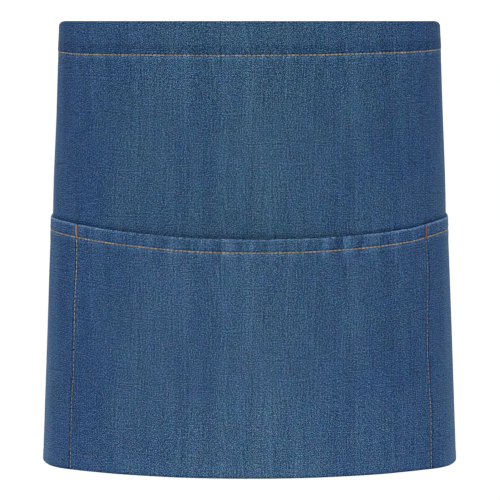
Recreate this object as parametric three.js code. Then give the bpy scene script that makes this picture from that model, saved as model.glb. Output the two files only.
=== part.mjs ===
// A denim waist apron as it hangs when worn: a straight-cut panel wrapped round the front and sides of
// the hips, a full-width pouch pocket on it, turned hems, and two ties knotted at the back.
// Units are millimetres. +Z is up and -Y is the front. The origin is the centre of the waist, half-way
// up the waistband. A point of the cloth is found from its arc, the way round from the centre front
// (right is positive), its drop below the top edge, and its offset, outwards from the outer face.
import * as THREE from 'three';

// The flat cut of the apron and the thickness of one layer of denim
const APRON_WIDTH = 700;
const APRON_LENGTH = 400;
const CLOTH = 1.0;
const LAYER_GAP = 0.3;

// The hips that the apron is wrapped round, at the top edge, and how much wider the hem hangs
const WAIST_HALF_WIDTH = 172.4;
const WAIST_FRONT_DEPTH = 113;
const WAIST_BACK_DEPTH = 92;
const HEM_SIDE_FLARE = 15.6;
const HEM_FRONT_FLARE = 6;
const HEM_BACK_FLARE = 8;
const PLAN_POWER = 5 / 6;

// The turned hems of the panel
const WAISTBAND_HEIGHT = 32;
const BOTTOM_HEM_HEIGHT = 9;
const SIDE_HEM_WIDTH = 12;
const TOP_EDGE_DIP = 6;
const TOP_EDGE_DIP_STARTS = 197;
const TOP_EDGE_DIP_ENDS = 245;

// The free side edges hang in soft folds, which are deepest at the hem
const FOLD_DEPTH = 7;
const FOLD_PITCH = 104;
const FOLD_STARTS = 225;

// The pocket: its mouth is lowest and stands furthest off the panel at the centre
const POCKET_DEPTH = 211;
const MOUTH_RISE = 21;
const POCKET_HEM_HEIGHT = 12.5;
const LEFT_SEAM_ARC = 165;
const RIGHT_SEAM_ARC = 169.5;
const SEAM_SPREAD = 7;
const POUCH_GAPE = 8;
const SIDE_POCKET_GAPE = 0.8;

// The stitched bars at the tops of the two pocket seams
const TACK_WIDTH = 2.4;
const TACK_THICKNESS = 0.6;

// The ties: each is sewn inside an end of the waistband and meets the other in a knot
const TIE_WIDTH = 22;
const TIE_THICKNESS = 2;
const TIE_SEWN_LENGTH = 22;
const TIE_GATHER_LENGTH = 34;
const TIE_GATHERED_WIDTH = 13;
const TIE_GATHERED_THICKNESS = 4.5;
const TAIL_LENGTH = 300;
const TAIL_SPLAY = 14;
const TAIL_TWIST = 0.5;
const TAIL_SPREADS_OVER = 60;
const KNOT_WIDTH = 27;
const KNOT_HEIGHT = 29;
const KNOT_DEPTH = 17;
const KNOT_SQUARENESS = 3;

// How many facets each kind of piece has
const ACROSS = 80;
const PANEL_DOWN = 4;
const POCKET_DOWN = 6;
const SIDE_HEM_DOWN = 4;
const TIE_ALONG = 10;
const TAIL_DOWN = 12;
const KNOT_FACETS = 6;

const HALF_WIDTH = APRON_WIDTH / 2;
const TOP = WAISTBAND_HEIGHT / 2;
const MOUTH_DROP = APRON_LENGTH - POCKET_DEPTH;
const RING_DIVISIONS = 600;

const denim = new THREE.MeshStandardMaterial({ color: 0x3b5a7d, roughness: 0.92, metalness: 0 });
const tackThread = new THREE.MeshStandardMaterial({ color: 0xb9704a, roughness: 0.7, metalness: 0 });

// Half of the plan at one level, from the centre front round the right side to the centre back
class HalfRing extends THREE.Curve {
  constructor(halfWidth, frontDepth, backDepth) {
    super();
    this.halfWidth = halfWidth;
    this.frontDepth = frontDepth;
    this.backDepth = backDepth;
    this.arcLengthDivisions = RING_DIVISIONS;
  }

  getPoint(t, target = new THREE.Vector3()) {
    const turn = t * Math.PI;
    const along = Math.cos(turn);
    const depth = along > 0 ? -this.frontDepth : this.backDepth;
    return target.set(
      this.halfWidth * Math.sin(turn),
      depth * Math.abs(along) ** PLAN_POWER,
      0,
    );
  }
}

const rings = new Map();

function ringAt(drop) {
  const key = drop.toFixed(3);
  if (!rings.has(key)) {
    const share = drop / APRON_LENGTH;
    rings.set(key, new HalfRing(
      WAIST_HALF_WIDTH + HEM_SIDE_FLARE * share,
      WAIST_FRONT_DEPTH + HEM_FRONT_FLARE * share,
      WAIST_BACK_DEPTH + HEM_BACK_FLARE * share,
    ));
  }
  return rings.get(key);
}

// Rises smoothly from 0 to 1 as x goes from start to end
function ease(x, start, end) {
  return THREE.MathUtils.smoothstep(x, start, end);
}

// The soft folds near the free side edges, as an offset from the plain wrap
function foldOffset(arc, drop) {
  const past = Math.abs(arc) - FOLD_STARTS;
  if (past <= 0) {
    return 0;
  }
  const reach = ease(past, 0, HALF_WIDTH - FOLD_STARTS);
  const hang = Math.max(drop, 0) / APRON_LENGTH;
  return -FOLD_DEPTH * reach * hang * Math.sin((2 * Math.PI * past) / FOLD_PITCH);
}

function clothPoint(arc, drop, offset) {
  const ring = ringAt(drop);
  const share = Math.min(Math.abs(arc) / ring.getLength(), 1);
  const point = ring.getPointAt(share);
  const way = ring.getTangentAt(share);
  const out = offset + foldOffset(arc, drop);
  return new THREE.Vector3(
    (arc < 0 ? -1 : 1) * (point.x + way.y * out),
    point.y - way.x * out,
    TOP - drop,
  );
}

// The top edge dips a little at the sides
function topDrop(arc) {
  return TOP_EDGE_DIP * ease(Math.abs(arc), TOP_EDGE_DIP_STARTS, TOP_EDGE_DIP_ENDS);
}

function mouthDrop(arc) {
  return MOUTH_DROP - MOUTH_RISE * Math.sin((Math.PI * arc) / APRON_WIDTH) ** 2;
}

// How far round a pocket seam lies. Both run a little outwards as they go down to the hem.
function seamArc(side, height) {
  return (side < 0 ? LEFT_SEAM_ARC : RIGHT_SEAM_ARC) + SEAM_SPREAD * (1 - height);
}

// How far the pocket's inner face stands off the panel's outer face
function pocketGap(arc, drop) {
  const height = (APRON_LENGTH - drop) / (APRON_LENGTH - mouthDrop(arc));
  const seam = seamArc(Math.sign(arc), height);
  const past = Math.abs(arc) - seam;
  const pouch = Math.cos((Math.PI * arc) / (2 * seam)) ** 2;
  const side = Math.sin((Math.PI * past) / (HALF_WIDTH - seam)) ** 2;
  const gape = past < 0 ? POUCH_GAPE * pouch : SIDE_POCKET_GAPE * side;
  const hemStarts = 1 - (2 * POCKET_HEM_HEIGHT) / POCKET_DEPTH;
  const hemEnds = 1 - POCKET_HEM_HEIGHT / POCKET_DEPTH;
  const hemRoom = (CLOTH + LAYER_GAP) * ease(height, hemStarts, hemEnds);
  return LAYER_GAP + hemRoom + gape * height ** 1.5;
}

// A length of cloth is a unit box, cut into facets and then bent into place. The function place is given
// the shares of the way across, through (0 is the outer face) and down, and returns the point there.
function bentBox(name, facets, place, material) {
  const geometry = new THREE.BoxGeometry(1, 1, 1, ...facets);
  const corners = geometry.attributes.position;
  for (let i = 0; i < corners.count; i++) {
    const point = place(corners.getX(i) + 0.5, corners.getY(i) + 0.5, 0.5 - corners.getZ(i));
    corners.setXYZ(i, point.x, point.y, point.z);
  }
  geometry.computeVertexNormals();
  const mesh = new THREE.Mesh(geometry, material);
  mesh.name = name;
  return mesh;
}

// The share of the way from one value to another
const between = THREE.MathUtils.lerp;

function makePanel() {
  return bentBox('apron_panel', [ACROSS, 1, PANEL_DOWN], (across, through, down) => {
    const arc = between(-HALF_WIDTH, HALF_WIDTH, across);
    return clothPoint(arc, between(topDrop(arc), APRON_LENGTH, down), -CLOTH * through);
  }, denim);
}

// The offset of the outer face of a turned hem, inside the panel
const INSIDE = -(CLOTH + LAYER_GAP);

function makeWaistband() {
  return bentBox('waistband', [ACROSS, 1, 1], (across, through, down) => {
    const arc = between(-HALF_WIDTH, HALF_WIDTH, across);
    return clothPoint(arc, between(topDrop(arc), WAISTBAND_HEIGHT, down), INSIDE - CLOTH * through);
  }, denim);
}

function makeBottomHem() {
  return bentBox('bottom_hem', [ACROSS, 1, 1], (across, through, down) => {
    const arc = between(-HALF_WIDTH, HALF_WIDTH, across);
    return clothPoint(arc, APRON_LENGTH - BOTTOM_HEM_HEIGHT * (1 - down), INSIDE - CLOTH * through);
  }, denim);
}

function makeSideHem(name, side) {
  const outerArc = side * HALF_WIDTH;
  const innerArc = side * (HALF_WIDTH - SIDE_HEM_WIDTH);
  const top = WAISTBAND_HEIGHT + LAYER_GAP;
  const bottom = APRON_LENGTH - BOTTOM_HEM_HEIGHT - LAYER_GAP;
  return bentBox(name, [1, 1, SIDE_HEM_DOWN], (across, through, down) => {
    const arc = between(Math.min(outerArc, innerArc), Math.max(outerArc, innerArc), across);
    return clothPoint(arc, between(top, bottom, down), INSIDE - CLOTH * through);
  }, denim);
}

// The pocket has a row of facets behind its hem, one as high below it, and even rows down to the bottom
function makePocketPanel() {
  return bentBox('pocket_panel', [ACROSS, 1, 2 + POCKET_DOWN], (across, through, down) => {
    const arc = between(-HALF_WIDTH, HALF_WIDTH, across);
    const row = down * (2 + POCKET_DOWN);
    const hemDrop = mouthDrop(arc) + POCKET_HEM_HEIGHT * Math.min(row, 2);
    const drop = between(hemDrop, APRON_LENGTH, Math.max(row - 2, 0) / POCKET_DOWN);
    return clothPoint(arc, drop, pocketGap(arc, drop) + CLOTH * (1 - through));
  }, denim);
}

function makePocketHem() {
  return bentBox('pocket_hem', [ACROSS, 1, 1], (across, through, down) => {
    const arc = between(-HALF_WIDTH, HALF_WIDTH, across);
    const drop = mouthDrop(arc) + POCKET_HEM_HEIGHT * down;
    return clothPoint(arc, drop, pocketGap(arc, drop) - LAYER_GAP - CLOTH * through);
  }, denim);
}

// A bar tack lies on the pocket's outer face, from the mouth down to the stitching of its hem
function makeTack(name, side) {
  return bentBox(name, [1, 1, 1], (across, through, down) => {
    const arc = side * seamArc(side, 1) + TACK_WIDTH * (across - 0.5);
    const drop = mouthDrop(arc) + POCKET_HEM_HEIGHT * down;
    const face = pocketGap(arc, drop) + CLOTH + LAYER_GAP;
    return clothPoint(arc, drop, face + TACK_THICKNESS * (1 - through));
  }, tackThread);
}

const TIE_OUTER_FACE = INSIDE - CLOTH - LAYER_GAP;
const TIE_MIDDLE = TIE_OUTER_FACE - TIE_THICKNESS / 2;

// A tie runs inside the waistband's end, over the open back and into the side of the knot
function makeTie(name, side) {
  const start = HALF_WIDTH - TIE_SEWN_LENGTH;
  const end = ringAt(TOP).getLength() - KNOT_WIDTH / 2 - LAYER_GAP;
  return bentBox(name, [TIE_ALONG, 1, 2], (across, through, down) => {
    const along = side < 0 ? 1 - across : across;
    const arc = between(start, end, along);
    const gather = ease(arc, end - TIE_GATHER_LENGTH, end);
    const width = between(TIE_WIDTH, TIE_GATHERED_WIDTH, gather);
    const thickness = between(TIE_THICKNESS, TIE_GATHERED_THICKNESS, gather);
    const drop = TOP + topDrop(HALF_WIDTH) * (1 - ease(arc, HALF_WIDTH, end)) + width * (down - 0.5);
    const point = clothPoint(side * arc, TOP, TIE_MIDDLE + thickness * (0.5 - through));
    return point.setZ(TOP - drop);
  }, denim);
}

const KNOT_CENTRE = new THREE.Vector3(0, ringAt(TOP).backDepth + TIE_MIDDLE, 0);

// The knot is a ball squared towards a box, so that its ends are nearly flat where the ties go in
function makeKnot() {
  const size = new THREE.Vector3(KNOT_WIDTH, KNOT_DEPTH, KNOT_HEIGHT);
  return bentBox('tie_knot', [KNOT_FACETS, KNOT_FACETS, KNOT_FACETS], (across, through, down) => {
    const way = new THREE.Vector3(across - 0.5, through - 0.5, 0.5 - down);
    const reach = Math.hypot(
      Math.abs(way.x) ** (KNOT_SQUARENESS / 2),
      Math.abs(way.y) ** (KNOT_SQUARENESS / 2),
      Math.abs(way.z) ** (KNOT_SQUARENESS / 2),
    ) ** (2 / KNOT_SQUARENESS);
    return way.divideScalar(2 * reach).multiply(size).add(KNOT_CENTRE);
  }, denim);
}

// A tail hangs from under the knot. It spreads out to the tie's width, and turns a little as it falls.
function makeTail(name, side) {
  const top = KNOT_HEIGHT / 2 + LAYER_GAP;
  return bentBox(name, [2, 1, TAIL_DOWN], (across, through, down) => {
    const fall = TAIL_LENGTH * down;
    const spread = ease(fall, 0, TAIL_SPREADS_OVER);
    const width = between(TIE_GATHERED_WIDTH / 2 - 2 * LAYER_GAP, TIE_WIDTH, spread);
    const thickness = between(TIE_GATHERED_THICKNESS, TIE_THICKNESS, spread);
    const turn = side * TAIL_TWIST * spread * Math.cos(Math.PI * down);
    const flat = new THREE.Vector3(width * (across - 0.5), thickness * (through - 0.5), 0);
    flat.applyAxisAngle(new THREE.Vector3(0, 0, 1), turn);
    const aside = side * (width / 2 + LAYER_GAP + TAIL_SPLAY * ease(fall, 0, TAIL_LENGTH));
    const back = KNOT_CENTRE.y + (HEM_BACK_FLARE * fall) / APRON_LENGTH;
    return flat.add(new THREE.Vector3(aside, back, -top - fall));
  }, denim);
}

const apron = new THREE.Group();
apron.add(makePanel(), makeWaistband(), makeBottomHem());
apron.add(makeSideHem('side_hem_left', -1), makeSideHem('side_hem_right', 1));
apron.add(makePocketPanel(), makePocketHem());
apron.add(makeTack('bar_tack_left', -1), makeTack('bar_tack_right', 1));
apron.add(makeTie('tie_left', -1), makeTie('tie_right', 1), makeKnot());
apron.add(makeTail('tie_tail_left', -1), makeTail('tie_tail_right', 1));

export default apron;
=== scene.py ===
"""The looks of a denim waist apron as it hangs when worn: cloth, stitching, bar tacks and knotted ties.

Shapes are worked out in millimetres, in the part's own frame: +Z is up, -Y is the front and the origin is
the centre of the waist. A point of the cloth is found from its arc, the way round from the centre
front (right is positive), its drop below the top edge, and its offset, outwards from the panel's face.
"""

import math

import bmesh
import bpy
import numpy as np
from mathutils import Matrix, Vector


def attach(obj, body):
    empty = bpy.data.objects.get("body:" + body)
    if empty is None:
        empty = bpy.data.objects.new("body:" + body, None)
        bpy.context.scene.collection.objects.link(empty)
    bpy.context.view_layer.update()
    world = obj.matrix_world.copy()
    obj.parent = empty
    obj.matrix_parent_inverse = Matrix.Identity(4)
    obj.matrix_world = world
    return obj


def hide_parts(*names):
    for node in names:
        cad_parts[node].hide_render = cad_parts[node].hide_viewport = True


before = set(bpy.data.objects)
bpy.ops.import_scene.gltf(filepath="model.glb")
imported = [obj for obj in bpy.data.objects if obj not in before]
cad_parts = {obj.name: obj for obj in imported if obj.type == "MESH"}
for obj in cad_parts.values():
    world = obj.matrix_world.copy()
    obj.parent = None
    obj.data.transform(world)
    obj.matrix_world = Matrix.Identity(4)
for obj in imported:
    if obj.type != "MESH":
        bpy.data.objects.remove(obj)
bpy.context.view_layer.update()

MM = 0.001
QUARTER_TURN = math.pi / 2

# The flat cut, one layer's thickness, how far apart the middles of two pressed layers lie, and the
# height of the top edge
WIDTH = 700
LENGTH = 400
HALF_WIDTH = WIDTH / 2
CLOTH = 0.8
LAYER = 0.9
TOP = 16

# The hips that the apron is wrapped round: a size at the top edge, and how much it grows down to the hem
HALF_ROUND = (172.4, 15.6)
FRONT_DEPTH = (113, 6)
BACK_DEPTH = (92, 8)
PLAN_POWER = 5 / 6

# The top edge: how far the cloth's fold lies below it, and its dip towards the back
TOP_DIP = 6
TOP_DIP_SPAN = (190, 240)
TOP_EDGE = 0.4

# The soft folds that hang by the free edges
FOLD_DEPTH = 7
FOLD_PITCH = 104
FOLD_STARTS = 225

# The pocket
POCKET_DEPTH = 211
MOUTH_DROP = LENGTH - POCKET_DEPTH
MOUTH_RISE = 21
MOUTH_CURVE = 2.3
POCKET_HEM = 12.5
POUCH_GAPE = 8
SIDE_GAPE = 0.7
PRESSED_GAP = 0.5
HEM_LIFT = 0.45
POCKET_STITCHING = 11.4

# The turned hems: how much cloth lies turned to the inside
SIDE_TURN = 12
BOTTOM_TURN = 9
WAIST_TURN = 31
WAIST_TURN_PAST_STITCHES = 2.2

# How far down the middles of the two sheets reach, and half the flat cloth that each fold takes up
PANEL_ENDS = 398.5
POCKET_ENDS = 399.6
SIDE_FOLD = 2.2
BOTTOM_FOLD = QUARTER_TURN * 1.2
TURNED_FOLD = QUARTER_TURN * LAYER / 2

# Where the waistband's stitching runs, as arcs and drops
WAIST_LINE = (
    (-350, 34.5), (-260, 31.5), (-225, 28.3), (-201, 28), (-169, 29), (-149, 29.5), (0, 29.8),
    (60, 29.4), (97, 28.5), (148, 27.5), (176, 26.5), (201, 25.5), (225, 26), (260, 30.5), (350, 34.5),
)

# How much lower than their plain curves the pocket's mouth and the hem hang, at these arcs
MOUTH_SAG = (
    (-350, 0.4), (-260, 2), (-235, 3), (-205, 0.9), (-185, -0.1), (-150, -0.5), (-95, -0.6),
    (-50, 0.3), (0, 0.4), (80, 0.8), (110, 1.1), (150, 1.2), (172, 0.3), (190, 0.2), (205, 1.1),
    (235, 3), (260, 2), (350, 0.4),
)
HEM_SAG = (
    (-350, 0.2), (-235, 0.2), (-205, 1.2), (-185, 0.8), (-165, -0.1), (-140, -0.6), (-100, -0.4),
    (-60, 0), (60, 0), (100, -0.4), (140, -0.6), (165, -0.1), (185, 0.8), (205, 1.2), (235, 0.2),
    (350, 0.2),
)

# How far from the centre front the two pocket seams run: roughly, and at each of these drops
SEAM_ARC = 168
LEFT_SEAM = (
    (168, 164.1), (187, 164.1), (221, 164.4), (240, 165.8), (277, 166.5), (314, 167.1), (332, 168.9),
    (351, 170), (400, 171),
)
RIGHT_SEAM = (
    (168, 167.9), (187, 167.9), (203, 169.6), (221, 171), (240, 170.5), (258, 169.3), (295, 169.5),
    (314, 171.2), (332, 172.6), (351, 174.5), (400, 175),
)

# Low relief of the cloth: heights and depths, and the pitch of what the sewing puckers
SWELL = 0.5
BAND_HEIGHT = 0.22
TURNED_EDGE_HEIGHT = 0.16
TURNED_EDGE_ABOVE = 10.9
GROOVE_DEPTH = 0.65
GROOVE_REACH = 1.1
SEAM_GROOVE_DEPTH = 0.5
SEAM_RIDGE_HEIGHT = 0.22
WAIST_PUCKERS = 0.16
WAIST_PUCKER_PITCH = 10.4
MOUTH_PUCKERS = 0.5
MOUTH_PUCKER_PITCHES = (21, 8)
SEAM_PUCKERS = 0.2
SEAM_PUCKER_PITCH = 8.3
SIDE_DENT = 0.45
SIDE_DENT_SPAN = (150, 200)
HEM_IMPRINT_DROP = 389.3

# Rubbed pale lines below the sewing, and lines of painted shade above it where its groove is shaded: how
# strong, how far below the stitches, and how wide
RUBBED_AND_PAINTED_SHADE_BY_WAIST_LINE = ((0.28, 2.3, 1.1), (-0.35, -1.1, 0.8), (-0.17, -6, 5))
RUBBED_AND_PAINTED_SHADE_BY_POCKET_LINE = ((0.22, 2.2, 1), (-0.35, -1.1, 0.8))

# Sewing: the stitches' pitch, and their length, width and height on the cloth, the seams and the ties
STITCH_PITCH = 3.8
STITCH = (3.5, 1.4, 1.0)
SEAM_STITCH = (3.2, 0.9, 0.8)
TIE_STITCH = (3.5, 0.7, 0.5)
TIE_STITCH_INSET = 3.1
SIDE_STITCHING = 340
SIDE_STITCHING_STARTS = 36.5
TACK_ARC = 167.0
TACK_LENGTH = 12.2
TACK_THREADS = 27
TACK_THREAD = 0.62

# The tack's two layers, the padding, in a darker rust that is painted shade for the tack's sloping flanks,
# and its cover: width, height, and how far off the cloth
TACK_LAYERS = ((3.1, 0.7, 0.3), (1.7, 0.9, 0.75))

# The ties
TIE_WIDTH = 22
TIE_THICKNESS = 1.7
TIE_SEWN = 22
STRAP_FADE = 0.3
HEIGHT_AT_STITCHES = 0.82
GATHERED_WIDTH = 13
GATHERED_THICKNESS = 3.375
GATHER_LENGTH = 34
TAIL_LENGTH = 300
TAIL_SPREAD = 14
TAIL_GATHERED_THICKNESS = 3.2
TAIL_END_FOLD = 0.7
KNOT_WIDTH = 27
KNOT_HEIGHT = 29
KNOT_DEPTH = 17
KNOT_SQUARENESS = 2.6
KNOT_TURN_WIDTH = 11.5
KNOT_TURN_THICKNESS = 2.6
KNOT_TURN_LEAN = math.radians(20)
KNOT_TURN_SHIFT = 0.6

# Half the way round the hips at the ties
BACK_HALF_ROUND = 448.3


# Shape of the worn cloth


def ease(x, start, end):
    """Rises smoothly from 0 to 1 as x goes from start to end."""
    share = np.clip((np.asarray(x, float) - start) / (end - start), 0, 1)
    return share * share * (3 - 2 * share)


def bump(x, middle, reach):
    """1 at the middle, falling away smoothly within about reach on both sides."""
    return np.exp(-(((x - middle) / reach) ** 2))


def mix(a, b, share):
    return a + (b - a) * share


def along_line(line, x):
    """The value at x of a line given as pairs."""
    places, values = zip(*line)
    return np.interp(x, places, values)


def ripple(x, pitch, seed):
    """An uneven wave from about -1 to 1."""
    draw = np.random.default_rng(seed)
    waves = [
        np.sin(2 * math.pi * (x / (pitch * draw.uniform(0.78, 1.3)) + draw.uniform()))
        for _ in range(5)
    ]
    return np.clip(sum(waves) / 3, -1.2, 1.2)


def billow(arc, drop, pitch, tallness, seed):
    """An uneven swell in both directions, tallness times as long down the cloth as across it."""
    draw = np.random.default_rng(seed)
    total = 0
    for _ in range(7):
        lean = draw.uniform(-0.9, 0.9)
        way = arc * math.cos(lean) + drop * math.sin(lean) / tallness
        reach = way / (pitch * draw.uniform(0.75, 1.3))
        total = total + np.sin(2 * math.pi * (reach + draw.uniform()))
    return total / 3.2


def measure_plan():
    """Place and direction round half the hips, for each millimetre of arc at each of several levels."""
    levels = []
    turn = np.linspace(0, math.pi, 12001)
    for share in np.linspace(0, 1, 9):
        across = (HALF_ROUND[0] + HALF_ROUND[1] * share) * np.sin(turn)
        front = FRONT_DEPTH[0] + FRONT_DEPTH[1] * share
        back = BACK_DEPTH[0] + BACK_DEPTH[1] * share
        depth = np.where(np.cos(turn) > 0, -front, back) * np.abs(np.cos(turn)) ** PLAN_POWER
        length = np.append(0, np.cumsum(np.hypot(np.diff(across), np.diff(depth))))
        arcs = np.arange(0, 447)
        x, y = np.interp(arcs, length, across), np.interp(arcs, length, depth)
        way_x, way_y = np.gradient(x), np.gradient(y)
        size = np.hypot(way_x, way_y)
        levels.append(np.stack([x, y, way_x / size, way_y / size], axis=-1))
    return np.array(levels)


PLAN = measure_plan()


def plan_at(arc, drop):
    level = np.clip(drop / LENGTH, 0, 1) * (len(PLAN) - 1)
    row = np.minimum(level.astype(int), len(PLAN) - 2)
    far = np.minimum(np.abs(arc), PLAN.shape[1] - 1)
    column = np.minimum(far.astype(int), PLAN.shape[1] - 2)
    down, on = (level - row)[..., None], (far - column)[..., None]
    upper = mix(PLAN[row, column], PLAN[row, column + 1], on)
    lower = mix(PLAN[row + 1, column], PLAN[row + 1, column + 1], on)
    return mix(upper, lower, down)


def hang(arc, drop):
    """How far the worn cloth lies off the plain wrap: soft folds by the free edges, and a slight swell."""
    past = np.maximum(np.abs(arc) - FOLD_STARTS, 0)
    reach = ease(past, 0, HALF_WIDTH - FOLD_STARTS) * np.maximum(drop, 0) / LENGTH
    folds = -FOLD_DEPTH * reach * np.sin(2 * math.pi * past / FOLD_PITCH)
    return folds + SWELL * billow(arc, drop, 95, 2.2, 11) * ease(drop, 30, 120)


def cloth_point(arc, drop, offset):
    """Points in millimetres of the worn cloth."""
    arc, drop, offset = np.broadcast_arrays(*(np.asarray(v, float) for v in (arc, drop, offset)))
    plan = plan_at(arc, drop)
    out = offset + hang(arc, drop)
    side = np.where(arc < 0, -1, 1)
    x = side * (plan[..., 0] + plan[..., 3] * out)
    y = plan[..., 1] - plan[..., 2] * out
    return np.stack([x, y, TOP - drop], axis=-1)


def top_drop(arc):
    return TOP_EDGE + TOP_DIP * ease(np.abs(arc), *TOP_DIP_SPAN)


def waist_line(arc):
    return along_line(WAIST_LINE, arc)


def mouth_drop(arc):
    rise = MOUTH_RISE * np.abs(np.sin(math.pi * arc / WIDTH)) ** MOUTH_CURVE
    return MOUTH_DROP - rise + along_line(MOUTH_SAG, arc)


def low_drop(arc):
    """The lowest middle of the pocket's cloth, where it turns up as the bottom hem."""
    return POCKET_ENDS + along_line(HEM_SAG, arc)


def seam_arc(arc, drop):
    """How far from the centre front the pocket seam lies, on the same side as arc."""
    return np.where(arc < 0, along_line(LEFT_SEAM, drop), along_line(RIGHT_SEAM, drop))


def pocket_height(arc, drop):
    """1 at the pocket's mouth and 0 at the hem."""
    return np.clip((LENGTH - drop) / (LENGTH - mouth_drop(arc)), 0, 1)


def hem_share(arc, drop):
    """1 where the pocket's turned hem lies behind it, and 0 a little below that."""
    ends = 1 - POCKET_HEM / POCKET_DEPTH
    return ease(pocket_height(arc, drop), 2 * ends - 1, ends)


def pocket_gap(arc, drop):
    """How far the pocket's inner face stands off the panel's outer face."""
    seam = seam_arc(arc, drop)
    past = np.abs(arc) - seam
    height = pocket_height(arc, drop)
    pouch = POUCH_GAPE * np.cos(QUARTER_TURN * arc / seam) ** 2 * height ** 1.5
    beside = np.clip(past / (HALF_WIDTH - seam), 0, 1)
    side = SIDE_GAPE * (np.sin(math.pi * beside) * np.sin(math.pi * height)) ** 2
    return PRESSED_GAP + np.hypot(HEM_LIFT * hem_share(arc, drop), np.where(past < 0, pouch, side))


def hem_puckers(arc, below):
    """The uneven upright puckers that its stitching draws into the pocket's hem."""
    wide, narrow = MOUTH_PUCKER_PITCHES
    return 0.65 * ripple(arc + 0.1 * below, wide, 5) + 0.35 * ripple(arc + 0.1 * below, narrow, 7)


def side_dent(arc, below):
    """The hollow round the mouth at the sides, where the cloth bends most."""
    return -SIDE_DENT * ease(np.abs(arc), *SIDE_DENT_SPAN) * bump(below, 2, 24)


def seam_dent(arc, drop):
    """The groove that a pocket seam pulls into both layers."""
    off_seam = np.abs(arc) - seam_arc(arc, drop)
    return -SEAM_GROOVE_DEPTH * bump(off_seam, 0, GROOVE_REACH) * ease(drop - mouth_drop(arc), -1, 3)


def waist_puckers(arc, below):
    """The small puckers along the waistband's stitching."""
    return ripple(arc + 0.1 * below, WAIST_PUCKER_PITCH, 21) * bump(below, 1, 7)


def panel_relief(arc, drop):
    """Low relief of the panel: the band's turned layers, its sewing, and the dent behind the mouth."""
    below = drop - waist_line(arc)
    on_band = 1 - ease(below, 0.5, 2.5)
    past_turned_edge = ease(below, -TURNED_EDGE_ABOVE - 0.7, -TURNED_EDGE_ABOVE + 0.7)
    band = on_band * (BAND_HEIGHT + TURNED_EDGE_HEIGHT * past_turned_edge)
    groove = -GROOVE_DEPTH * bump(below, 0, GROOVE_REACH)
    puckers = WAIST_PUCKERS * waist_puckers(arc, below)
    return band + groove + puckers + side_dent(arc, drop - mouth_drop(arc)) + seam_dent(arc, drop)


def pocket_relief(arc, drop):
    """Low relief of the pocket: its puckered hem, the two seams, and the imprint of the bottom hem."""
    below = drop - mouth_drop(arc)
    middle = 0.5 + 0.5 * bump(arc, 0, 140)
    band = ease(below, -2, 2) * (1 - ease(below, 12, 24))
    puckers = MOUTH_PUCKERS * middle * band * hem_puckers(arc, below)
    groove = -GROOVE_DEPTH * bump(below, POCKET_STITCHING, GROOVE_REACH)
    raised = 0.1 * (1 - ease(below, 12, 14)) + side_dent(arc, below)
    off_seam = np.abs(arc) - seam_arc(arc, drop)
    under_mouth = ease(below, -1, 3)
    seam = SEAM_RIDGE_HEIGHT * bump(np.abs(off_seam), 3.2, 1.8)
    drawn = ripple(drop + 0.3 * off_seam, SEAM_PUCKER_PITCH, 9)
    seam_puckers = SEAM_PUCKERS * drawn * bump(off_seam, 0, 8)
    hem = 0.15 * ease(drop, HEM_IMPRINT_DROP - 0.3, HEM_IMPRINT_DROP + 2.2)
    hem = hem - 0.12 * bump(drop, HEM_IMPRINT_DROP, 1)
    return puckers + groove + raised + seam_dent(arc, drop) + under_mouth * (seam + seam_puckers) + hem


def pocket_face(arc, drop):
    """The offset of the pocket's outer face."""
    return pocket_gap(arc, drop) + CLOTH + pocket_relief(arc, drop)


def outer_face(arc, drop):
    return np.where(drop < mouth_drop(arc) + 0.5, panel_relief(arc, drop), pocket_face(arc, drop))


# Sheets of cloth


def mesh_of(name, bm):
    mesh = bpy.data.meshes.new(name)
    bm.to_mesh(mesh)
    bm.free()
    return mesh


def round_mesh(name, segments, rings, radius):
    """A ball, with its faces sorted by place, as they come in another order each run."""
    bm = bmesh.new()
    bmesh.ops.create_uvsphere(bm, u_segments=segments, v_segments=rings, radius=radius)
    bm.faces.sort(key=lambda face: face.calc_center_median().dot((1, 1e3, 1e6)))
    return mesh_of(name, bm)


def points_of(mesh):
    points = np.empty(len(mesh.vertices) * 3)
    mesh.vertices.foreach_get("co", points)
    return points.reshape(-1, 3)


def add_piece(name, mesh):
    """Puts the mesh into the scene as a smooth piece."""
    mesh.shade_smooth()
    piece = bpy.data.objects.new(name, mesh)
    bpy.context.scene.collection.objects.link(piece)
    return piece


def note_flat_place(mesh, across, along):
    """Keeps on the mesh where each vertex lies on the flat cloth, given in millimetres."""
    corners = np.empty(len(mesh.loops), int)
    mesh.loops.foreach_get("vertex_index", corners)
    flat = np.stack([across, along], axis=-1)[corners] * MM
    mesh.uv_layers.new(name="flat").data.foreach_set("uv", flat.ravel())


def note_on_cloth(mesh, wear_and_painted_light, fade_and_painted_light):
    """Keeps on the mesh how rubbed and how faded the cloth is at each vertex, with the painted light and
    shade added to both, for its material.
    """
    for name, values in (("wear_and_painted_light", wear_and_painted_light), ("fade_and_painted_light", fade_and_painted_light)):
        noted = mesh.attributes.new(name, "FLOAT", "POINT")
        noted.data.foreach_set("value", np.broadcast_to(values, len(mesh.vertices)).astype(np.float32))


def fade_and_painted_light_share(arc):
    """Paler at the front middle, then at the sides, and darkest at the bends between them: partly fading
    from washing, and partly painted light and shade for how the front light falls off round the hips, with
    a painted sheen past the bends.
    """
    away = np.abs(arc)
    return 0.62 * (1 - ease(away, 95, 172)) + 0.33 * bump(arc, -8, 40) + 0.7 * ease(away, 185, 235)


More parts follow.
